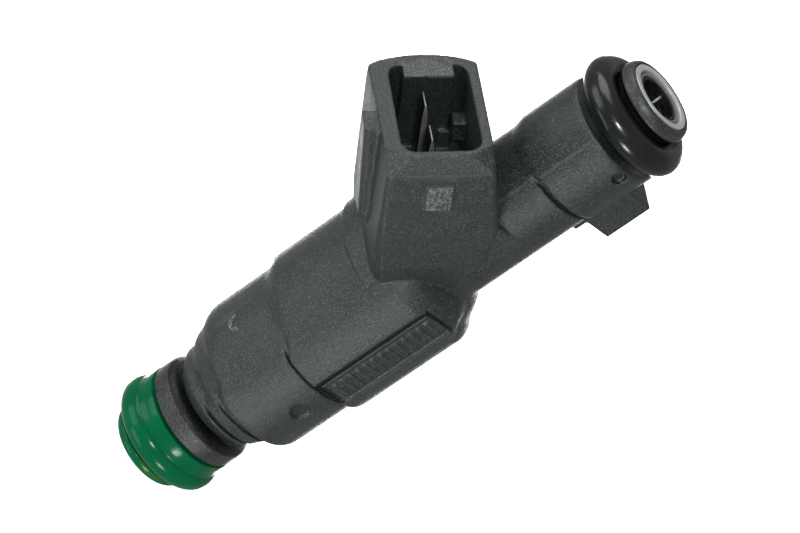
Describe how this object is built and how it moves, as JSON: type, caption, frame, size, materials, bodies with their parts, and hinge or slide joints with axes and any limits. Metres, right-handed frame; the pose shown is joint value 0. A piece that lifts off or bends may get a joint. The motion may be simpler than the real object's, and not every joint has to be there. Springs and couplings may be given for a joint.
{
  "type": "fuel injector",
  "caption": "Port fuel injector: slim moulded body with a slanted plug socket, sealing rings at both ends, inlet filter, magnet coil and a spring-closed needle valve.",
  "frame": {"origin": "centre of the nozzle end, on the injector's axis, in the plane of the nozzle cap's end face", "axes": "+Z along the injector's axis from the nozzle to the fuel inlet, +X towards the plug socket, +Y one side of the mould"},
  "size_m": [0.0325, 0.019, 0.0743],
  "materials": {
    "housing_plastic": "glass-filled, finely speckled",
    "collar_plastic": "matt",
    "inlet_collar_plastic": "satin",
    "green_cap": "gloss",
    "green_seal": "gloss",
    "black_seal": "oiled gloss",
    "tube_steel": "turned",
    "valve_steel": "ground",
    "magnet_steel": "plain",
    "spring_steel": "drawn wire",
    "blade_tin": "tinned",
    "brass_parts": "turned",
    "copper_wire": "enamelled copper",
    "filter_plastic": "matt",
    "filter_cloth": "fine woven mesh",
    "bobbin_plastic": "matt"
  },
  "bodies": {
    "injector_body": {"overmould_housing": "housing_plastic", "lower_collar": "collar_plastic", "lower_o_ring": "green_seal", "nozzle_cap": "green_cap", "seal_spacer": "green_cap", "inlet_tube": "tube_steel", "inlet_collar": "inlet_collar_plastic", "upper_o_ring": "black_seal", "filter_rim": "brass_parts", "filter_frame": "filter_plastic", "filter_mesh": "filter_cloth", "adjusting_sleeve": "brass_parts", "return_spring": "spring_steel", "terminal_front": "blade_tin", "terminal_rear": "blade_tin", "coil_lead_front": "copper_wire", "coil_lead_rear": "copper_wire", "coil_bobbin": "bobbin_plastic", "coil_winding": "copper_wire", "flux_yoke_front": "magnet_steel", "flux_yoke_rear": "magnet_steel", "nonmagnetic_ring": "valve_steel", "valve_body": "valve_steel", "valve_seat": "valve_steel", "needle_guide": "valve_steel", "spray_hole_plate": "valve_steel"},
    "needle_group": {"armature": "magnet_steel", "valve_needle": "valve_steel", "valve_ball": "valve_steel"}
  },
  "joints": [
    {"name": "needle_lift", "type": "slide", "parent": "injector_body", "child": "needle_group", "axis": [0, 0, 1], "range_m": [0, 0.0001], "stiffness_N_per_m": 1500, "springref_m": -0.002, "deforming": ["return_spring"]}
  ]
}
